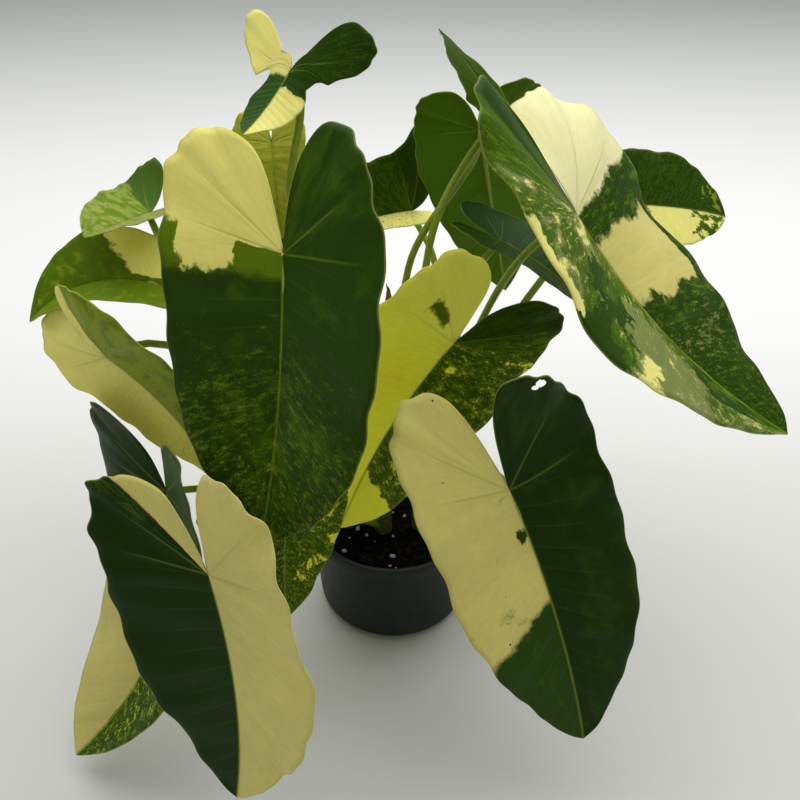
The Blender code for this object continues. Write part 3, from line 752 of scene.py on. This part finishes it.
def cut_holes(bm, leaf, length, flat, phase):
    """Opens the torn holes of a blade."""
    for half, share, reach, radius in leaf.holes:
        side = reach if half == SECOND else -reach
        x, y = flat_point(leaf, length, side, share, phase)
        middle = Vector((x, math.copysign(y, side), 0))
        near = [vert for vert in bm.verts if (vert[flat] - middle).length < 3 * radius * MM]
        edges = {edge for vert in near for edge in vert.link_edges}
        bmesh.ops.subdivide_edges(bm, edges=list(edges), cuts=5, use_grid_fill=True)
        torn = [vert for vert in bm.verts if (vert[flat] - middle).length < radius * MM]
        bmesh.ops.delete(bm, geom=torn, context="VERTS")


def vein_spread(leaf, length, side, share, phase):
    """How fast the flat blade's point moves with its share, in metres."""
    nudge = 0.002
    low = max(share - nudge, 0)
    high = min(share + nudge, 1)
    before = flat_point(leaf, length, side, low, phase)
    after = flat_point(leaf, length, side, high, phase)
    return math.dist(before, after) / (high - low)


def make_blade(leaf, number, detail):
    joint, length, along, across, up = blade_axes(leaf)
    bm = bmesh.new()
    bmesh.ops.create_grid(bm, x_segments=2 * detail.steps_across, y_segments=detail.steps_along, size=1)
    lay = bm.verts.layers.float_vector.new("lay")
    flat = bm.verts.layers.float_vector.new("flat")
    phase = number * 1.9
    for vert in bm.verts:
        side = math.copysign(abs(vert.co.x) ** 1.5, vert.co.x)
        share = (vert.co.y + 1) / 2
        x, y = flat_point(leaf, length, side, share, phase)
        vert[lay] = (side, share, vein_spread(leaf, length, side, share, phase))
        vert[flat] = (x, math.copysign(y, side), 0)
        place = bent_point(leaf, length, side, share, phase)
        vert.co = joint + place[0] * along + place[1] * across + place[2] * up
    bmesh.ops.remove_doubles(bm, verts=bm.verts, dist=1e-6)
    cut_holes(bm, leaf, length, flat, phase)
    bm.normal_update()
    if sum(face.normal.dot(up) * face.calc_area() for face in bm.faces) < 0:
        bmesh.ops.reverse_faces(bm, faces=bm.faces)
    mesh = mesh_from(bm, leaf.name + " blade", 80)
    materials = [blade_material(leaf, number, False), blade_material(leaf, number, True)]
    slot = "leaf_yellow" if "yellow" in leaf.name else "leaf_variegated"
    piece = finish_piece(leaf.name + "_blade", mesh, materials, slot, leaf.name + "_leaf")
    wall = piece.modifiers.new("thickness", "SOLIDIFY")
    wall.thickness = detail.thickness
    wall.offset = 0
    wall.material_offset = 1
    wall.material_offset_rim = 0
    return piece


# Petioles


PETIOLE_BASE_SWELL = 1.35
PETIOLE_TOP_SWELL = 1.0
LOWEST_PETIOLE_LEAN = 0.95
LEAN_STEP = 0.14
HANDLE_SHARE = 0.36
ARRIVE_UP = 0.75
ARRIVE_STRAIGHT = 0.45
ARRIVE_ALONG = 0.25
STEM_HEIGHT = 0.040
FIRST_PETIOLE_AT = 0.1625
PETIOLE_SPACING = 0.1625
STEM_REACH = 0.0035
JOINT_SINK = 0.85
JOINT_RUN = 0.003

# The midrib under a blade: where it is placed, how thick it is and how far it shows
RIB_PLACES = (0.12, 0.3, 0.5, 0.7, 0.86)
RIB_SHARE = 0.78
RIB_TAPER = 0.72
RIB_HANDLE = 0.06
RIB_SHOWS = 0.0002


def foot_middle(name):
    """The middle of a node's box, at its foot."""
    low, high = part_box(name)
    return Vector(((low.x + high.x) / 2, (low.y + high.y) / 2, low.z))


def petiole_route(leaf, order, radius):
    """Bezier points as (handle, point, handle, radius), from a stem to the blade and on under its midrib."""
    joint, length, along, across, up = blade_axes(leaf)
    stem = foot_middle(leaf.stem)
    first_aim = leaf_point(leaf.through) if leaf.through else joint
    outward = Vector((first_aim.x - stem.x, first_aim.y - stem.y, 0)).normalized()
    leave = ((LOWEST_PETIOLE_LEAN - LEAN_STEP * order) * outward + Vector((0, 0, 1))).normalized()
    height = STEM_HEIGHT * (FIRST_PETIOLE_AT + PETIOLE_SPACING * order)
    start = stem + outward * STEM_REACH + Vector((0, 0, height))
    straight = (joint - start).normalized()
    arrive = (ARRIVE_UP * up + ARRIVE_STRAIGHT * straight + ARRIVE_ALONG * along).normalized()
    end = joint - up * radius * JOINT_SINK
    points = [start, *([first_aim] if leaf.through else []), end]
    directions = [leave, *([straight] if leaf.through else []), arrive]
    swells = [PETIOLE_BASE_SWELL, *([1.0] if leaf.through else []), PETIOLE_TOP_SWELL]
    route = []
    for place, (point, direction) in enumerate(zip(points, directions)):
        before = (point - points[place - 1]).length if place else 0.0
        after = (points[place + 1] - point).length if place + 1 < len(points) else 0.0
        handles = (point - direction * HANDLE_SHARE * before, point + direction * HANDLE_SHARE * after)
        route.append((handles[0], point, handles[1], radius * swells[place]))
    route[-1] = (route[-1][0], end, end + along * JOINT_RUN, radius * PETIOLE_TOP_SWELL)
    for t in RIB_PLACES:
        thin = radius * (RIB_SHARE - RIB_TAPER * t)
        bow = 4 * t * (1 - t)
        rib = joint + along * t * length + across * leaf.sweep * MM * bow
        rib += up * (leaf.arch * MM * bow - max(thin - RIB_SHOWS, RIB_SHOWS))
        step = along * RIB_HANDLE * length
        route.append((rib - step, rib, rib + step, thin))
    return route


def make_tube(name, route, material, slot, node):
    curve = bpy.data.curves.new(name, "CURVE")
    curve.dimensions = "3D"
    curve.resolution_u = 14
    curve.bevel_depth = 1.0
    curve.bevel_resolution = 3
    curve.use_fill_caps = True
    spline = curve.splines.new("BEZIER")
    spline.bezier_points.add(len(route) - 1)
    for point, (left, middle, right, radius) in zip(spline.bezier_points, route):
        point.handle_left_type = "FREE"
        point.handle_right_type = "FREE"
        point.handle_left = left
        point.co = middle
        point.handle_right = right
        point.radius = radius
    return finish_piece(name, curve, [material], slot, node)


# Pot, soil and stems


POT_WALL = 0.0016
DRAIN_HOLES = 6
DRAIN_RADIUS = 0.004
DRAIN_CIRCLE_RADIUS = 0.028


def cut_drain_holes(bm):
    """The pot's mesh with its drain holes cut through the base."""
    holes = bmesh.new()
    for hole in range(DRAIN_HOLES):
        angle = math.tau * hole / DRAIN_HOLES
        middle = Vector((math.cos(angle), math.sin(angle), 0)) * DRAIN_CIRCLE_RADIUS
        bmesh.ops.create_cone(holes, cap_ends=True, segments=32, radius1=DRAIN_RADIUS, radius2=DRAIN_RADIUS,
                              depth=6 * POT_WALL, matrix=Matrix.Translation(middle))
    cutter_mesh = bpy.data.meshes.new("drain cutters")
    holes.to_mesh(cutter_mesh)
    holes.free()
    cutter = add_object("drain_cutters", cutter_mesh)
    body = add_object("pot_blank", mesh_from(bm, "pot blank", 40))
    cut = body.modifiers.new("drain holes", "BOOLEAN")
    cut.operation = "DIFFERENCE"
    cut.solver = "EXACT"
    cut.object = cutter
    bpy.context.view_layer.update()
    graph = bpy.context.evaluated_depsgraph_get()
    mesh = bpy.data.meshes.new_from_object(body.evaluated_get(graph))
    mesh.materials.clear()
    for thing in (cutter, body):
        bpy.data.objects.remove(thing, do_unlink=True)
    return mesh


def make_pot(sides, colour):
    top = POT_HIGH.z
    rim = POT_HIGH.x
    band = 0.0085
    proud = 0.0012
    base = 0.0470
    corner = 0.0090
    lip = 0.0004

    def radius_at(height):
        return base + (rim - proud - base) * height / top

    def foot(inset):
        middle = radius_at(corner) - corner
        bend = corner - inset
        turn = [0.5 * math.pi * step / 10 for step in range(11)]
        return [(0, inset)] + [(middle + bend * math.sin(a), corner - bend * math.cos(a)) for a in turn]

    under = top - band
    outside = [*foot(0), (radius_at(0.3 * top), 0.3 * top), (radius_at(under - 0.001), under - 0.001)]
    outside += [(radius_at(under) + 0.0003, under), (rim - 0.5 * proud, under + 0.0006)]
    outside += [(rim - 0.3 * proud, under + 0.0015), (rim, top - 2 * lip), (rim - 0.2 * lip, top - lip)]
    outside += [(rim - lip, top - 0.2 * lip), (rim - 2 * lip, top)]
    bore = radius_at(top) - POT_WALL
    inside = [(bore + lip, top), (bore + 0.2 * lip, top - 0.2 * lip), (bore, top - lip)]
    inside += reversed(foot(POT_WALL))
    mesh = cut_drain_holes(turned_mesh(outside + inside, sides))
    return finish_piece("nursery_pot", mesh, [pot_material(colour)], "pot_plastic", "pot")


def soil_height(x, y):
    """Lumps of the soil's surface, in metres above its mean level."""
    place = Vector((x, y, 0))
    return 0.0011 * noise.noise(place * 70) + 0.0007 * noise.noise(place * 190)


def make_soil(rings, sides):
    low, high = SOIL_LOW, SOIL_HIGH
    top = high.x
    foot_inset = 0.0145
    bend_inset = 0.0055
    bend_height = 0.009
    profile = [(0, low.z), (top - foot_inset, low.z), (top - bend_inset, low.z + bend_height)]
    profile += [(top * (1 - ring / rings), high.z) for ring in range(rings + 1)]
    bm = turned_mesh(profile, sides)
    for vert in bm.verts:
        if vert.co.z > high.z - 1e-5:
            vert.co.z += soil_height(vert.co.x, vert.co.y)
    mesh = mesh_from(bm, "soil", 50)
    return finish_piece("soil_bed", mesh, [soil_material()], "potting_soil", "soil")


def make_grains(name, count, sizes, stretch, seed, subdivisions, material):
    """Loose grains scattered on the soil, each a stretched and turned ball."""
    rng = random.Random(seed)
    reach = SOIL_HIGH.x - 0.003
    chipping = 0.16
    bm = bmesh.new()
    for _ in range(count):
        angle = rng.uniform(0, math.tau)
        radius = reach * math.sqrt(rng.random())
        x, y = radius * math.cos(angle), radius * math.sin(angle)
        size = rng.uniform(*sizes) * rng.uniform(0.6, 1.0)
        height = SOIL_HIGH.z + soil_height(x, y) + size * rng.uniform(-0.1, 0.45)
        shape = Matrix.Diagonal((size * stretch, size, size * rng.uniform(0.5, 0.9), 1))
        turn = Quaternion((rng.uniform(-1, 1), rng.uniform(-1, 1), rng.uniform(-1, 1)), rng.uniform(0, 3))
        place = Matrix.Translation((x, y, height)) @ turn.normalized().to_matrix().to_4x4() @ shape
        made = bmesh.ops.create_icosphere(bm, subdivisions=subdivisions, radius=1.0, matrix=place)
        for vert in made["verts"]:
            vert.co += Vector([rng.uniform(-chipping, chipping) * size for _ in range(3)])
    mesh = mesh_from(bm, name, 30)
    return finish_piece(name, mesh, [material], "potting_soil")


def make_stem(name):
    low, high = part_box(name)
    middle = foot_middle(name)
    radius = (high.x - low.x) / 2
    steps = 40
    scars = 6
    groove = 0.05
    taper = 0.24
    profile = [(0, low.z)]
    for step in range(steps + 1):
        share = step / steps
        ring = groove * abs(math.sin(math.pi * share * scars)) - groove
        profile.append((radius * (1 - taper * share + ring), low.z + (high.z - low.z) * share * 0.94))
    profile += [(radius * 0.5, high.z - 0.0006), (0, high.z)]
    bm = turned_mesh(profile, 32)
    bmesh.ops.translate(bm, verts=bm.verts, vec=(middle.x, middle.y, 0))
    mesh = mesh_from(bm, name, 60)
    return finish_piece(name + "_bark", mesh, [bark_material()], "stem_bark", name)


# The dry sheath from its foot to its tip, as shares of its height, radii and how far it leans
SHEATH_PLACES = ((0, 0.0012, 0), (0.5, 0.0013, 0), (0.86, 0.0019, 0), (0.94, 0.0020, 0.0004),
                 (0.975, 0.0010, 0.0002), (1, 0.0002, -0.0008))
SHEATH_HANDLE = 0.012


def make_sheath():
    low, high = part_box("dried_sheath")
    middle = foot_middle("dried_sheath")
    height = high.z - low.z
    route = []
    for share, radius, lean in SHEATH_PLACES:
        point = middle + Vector((lean, 0, height * share))
        step = Vector((0, 0, height * SHEATH_HANDLE))
        route.append((point - step, point, point + step, radius))
    return make_tube("dry_sheath", route, sheath_material(), "dry_sheath", "dried_sheath")


# Stage


CAMERA_PLACE = Vector((0.0044, -0.452, 0.510))
CAMERA_DOWN = math.radians(38)
CAMERA_LENS = 45

KEY_PLACE = (0.15, 0.60, 1.50)
KEY_AIM = (0, 0.1, 0.1)
KEY_SIZE = (2.6, 2.2)
FILL_PLACE = (-0.9, -1.1, 0.9)
FILL_AIM = (0, 0, 0.2)
FILL_SIZE = (1.0, 1.0)
ROOM_COLOUR = (1.0, 1.0, 0.99)


def make_camera():
    data = bpy.data.cameras.new("camera")
    data.lens = CAMERA_LENS
    data.sensor_width = 36
    data.clip_start = 0.01
    camera = add_object("camera", data)
    camera.location = CAMERA_PLACE
    camera.rotation_euler = (math.pi / 2 - CAMERA_DOWN, 0, 0)
    bpy.context.scene.camera = camera


def make_light(name, place, aim, size, power):
    data = bpy.data.lights.new(name, "AREA")
    data.shape = "RECTANGLE"
    data.size = size[0]
    data.size_y = size[1]
    data.energy = power
    light = add_object(name, data)
    light.location = place
    light.rotation_euler = (Vector(aim) - Vector(place)).to_track_quat("-Z", "Y").to_euler()


def make_floor(stage):
    bm = bmesh.new()
    bmesh.ops.create_grid(bm, x_segments=8, y_segments=8, size=6)
    mesh = mesh_from(bm, "floor")
    colours = [tuple(colour) for colour in (stage.floor_near, stage.floor_middle_painted_light, stage.floor_far_painted_shade)]
    mesh.materials.append(floor_material(*colours))
    add_object("floor", mesh)


def make_world(colour, strength, backdrop):
    """A plain room: soft light on the plant and a paler wall where it is seen directly."""
    world = bpy.data.worlds.new("studio")
    world.use_nodes = True
    tree = world.node_tree
    lit = tree.nodes["Background"]
    wall = tree.nodes.new("ShaderNodeBackground")
    for background, brightness in ((lit, strength), (wall, backdrop)):
        background.inputs["Color"].default_value = (*colour, 1)
        background.inputs["Strength"].default_value = brightness
    seen = tree.nodes.new("ShaderNodeLightPath")
    mix = tree.nodes.new("ShaderNodeMixShader")
    tree.links.new(seen.outputs["Is Camera Ray"], mix.inputs["Fac"])
    tree.links.new(lit.outputs["Background"], mix.inputs[1])
    tree.links.new(wall.outputs["Background"], mix.inputs[2])
    tree.links.new(mix.outputs["Shader"], tree.nodes["World Output"].inputs["Surface"])
    bpy.context.scene.world = world


# Properties


def colour_property(name, description, default):
    return bpy.props.FloatVectorProperty(name=name, description=description, subtype="COLOR", size=3,
                                         min=0, max=1, default=default)


def count_property(name, description, default, low=0):
    return bpy.props.IntProperty(name=name, description=description, default=default, min=low)


def number_property(name, description, default, unit="NONE"):
    return bpy.props.FloatProperty(name=name, description=description, default=default, min=0, unit=unit)


class LeafSettings(bpy.types.PropertyGroup):
    steps_along: count_property("Steps along", "Rows from a blade's tip to its petiole", 180, 16)
    steps_across: count_property("Steps across", "Columns from the midrib to the margin", 22, 3)
    thickness: number_property("Thickness", "Thickness of a blade", 0.0006, "LENGTH")
    petiole_radius: number_property("Petiole radius", "Radius of a petiole's middle", 0.0020, "LENGTH")
    petiole_low: colour_property("Petiole shade", "Darker green of the petioles", (0.20, 0.29, 0.016))
    petiole_high: colour_property("Petiole light", "Lighter green of the petioles", (0.29, 0.37, 0.040))


class PotSettings(bpy.types.PropertyGroup):
    sides: count_property("Sides", "Flats round the pot", 144, 24)
    plastic: colour_property("Plastic", "Colour of the pot", (0.008, 0.0115, 0.010))
    crumbs: count_property("Crumbs", "Bark crumbs on the soil", 900)
    perlite: count_property("Perlite", "White grains on the soil", 34)


class StageSettings(bpy.types.PropertyGroup):
    floor_near: colour_property("Floor near", "Floor in front of the pot", (0.67, 0.67, 0.64))
    # Floor middle is a painted pool of light, and floor far is painted shade.
    floor_middle_painted_light: colour_property("Floor middle", "Floor behind the pot", (0.84, 0.84, 0.83))
    floor_far_painted_shade: colour_property("Floor far", "Floor far behind the pot", (0.33, 0.35, 0.33))
    key_power: number_property("Key power", "Power of the softbox overhead", 36, "POWER")
    fill_power: number_property("Fill power", "Power of the front fill", 0.4, "POWER")
    backdrop: number_property("Backdrop", "Brightness of the wall behind the floor", 0.62)
    world_strength: number_property("Ambient", "Strength of the room's light", 0.33)


SETTINGS = {"philo_leaves": LeafSettings, "philo_pot": PotSettings, "philo_stage": StageSettings}


# Operators


class PHILO_OT_stage(bpy.types.Operator):
    """Adds the camera, the floor and the lights."""

    bl_idname = "philo.stage"
    bl_label = "Stage"

    def execute(self, context):
        stage = context.scene.philo_stage
        make_camera()
        make_floor(stage)
        make_light("softbox overhead", KEY_PLACE, KEY_AIM, KEY_SIZE, stage.key_power)
        make_light("front fill", FILL_PLACE, FILL_AIM, FILL_SIZE, stage.fill_power)
        make_world(ROOM_COLOUR, stage.world_strength, stage.backdrop)
        context.scene.view_settings.view_transform = "Standard"
        return {"FINISHED"}


class PHILO_OT_pot(bpy.types.Operator):
    """Makes the nursery pot."""

    bl_idname = "philo.pot"
    bl_label = "Pot"

    def execute(self, context):
        pot = context.scene.philo_pot
        make_pot(pot.sides, tuple(pot.plastic))
        return {"FINISHED"}


class PHILO_OT_soil(bpy.types.Operator):
    """Makes the soil with its crumbs and white grains."""

    bl_idname = "philo.soil"
    bl_label = "Soil"

    def execute(self, context):
        pot = context.scene.philo_pot
        make_soil(36, 120)
        make_grains("bark_crumbs", pot.crumbs, (0.0006, 0.0019), 1.6, 7, 1, crumb_material())
        make_grains("perlite_grains", pot.perlite, (0.0008, 0.0019), 1.1, 11, 2, perlite_material())
        return {"FINISHED"}


class PHILO_OT_stems(bpy.types.Operator):
    """Makes the stems and the dried sheath."""

    bl_idname = "philo.stems"
    bl_label = "Stems"

    def execute(self, context):
        for name in STEMS:
            make_stem(name)
        make_sheath()
        return {"FINISHED"}


class PHILO_OT_petioles(bpy.types.Operator):
    """Makes the petioles, each running on as its blade's midrib."""

    bl_idname = "philo.petioles"
    bl_label = "Petioles"

    def execute(self, context):
        leaves = context.scene.philo_leaves
        material = petiole_material("petiole green", tuple(leaves.petiole_low), tuple(leaves.petiole_high))
        placed = dict.fromkeys(STEMS, 0)
        for leaf in LEAVES:
            route = petiole_route(leaf, placed[leaf.stem], leaves.petiole_radius)
            make_tube(leaf.name + "_stalk", route, material, "petiole_green", leaf.name + "_petiole")
            placed[leaf.stem] += 1
        return {"FINISHED"}


class PHILO_OT_blades(bpy.types.Operator):
    """Makes the variegated blades."""

    bl_idname = "philo.blades"
    bl_label = "Blades"

    def execute(self, context):
        leaves = context.scene.philo_leaves
        for number, leaf in enumerate(LEAVES):
            make_blade(leaf, number, leaves)
        return {"FINISHED"}


OPERATORS = (PHILO_OT_stage, PHILO_OT_pot, PHILO_OT_soil, PHILO_OT_stems, PHILO_OT_petioles, PHILO_OT_blades)


class PHILO_PT_panel(bpy.types.Panel):
    """Lists the steps that build the plant."""

    bl_idname = "PHILO_PT_panel"
    bl_label = "Potted Philodendron"
    bl_space_type = "VIEW_3D"
    bl_region_type = "UI"
    bl_category = "Philodendron"

    def draw(self, context):
        for operator in OPERATORS:
            self.layout.operator(operator.bl_idname)
        for group, kind in SETTINGS.items():
            for name in kind.__annotations__:
                self.layout.prop(getattr(context.scene, group), name)


CLASSES = (*SETTINGS.values(), *OPERATORS, PHILO_PT_panel)


def register():
    for made in CLASSES:
        bpy.utils.register_class(made)
    for group, kind in SETTINGS.items():
        setattr(bpy.types.Scene, group, bpy.props.PointerProperty(type=kind))


def unregister():
    for group in SETTINGS:
        delattr(bpy.types.Scene, group)
    for made in reversed(CLASSES):
        bpy.utils.unregister_class(made)


def clear_startup():
    for name in ("Cube", "Light", "Camera"):
        thing = bpy.data.objects.get(name)
        if thing:
            bpy.data.objects.remove(thing, do_unlink=True)


def main():
    clear_startup()
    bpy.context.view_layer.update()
    register()
    bpy.ops.philo.stage()
    bpy.ops.philo.pot()
    bpy.ops.philo.soil()
    bpy.ops.philo.stems()
    bpy.ops.philo.petioles()
    bpy.ops.philo.blades()
    bpy.context.view_layer.update()


if __name__ == "__main__":
    main()
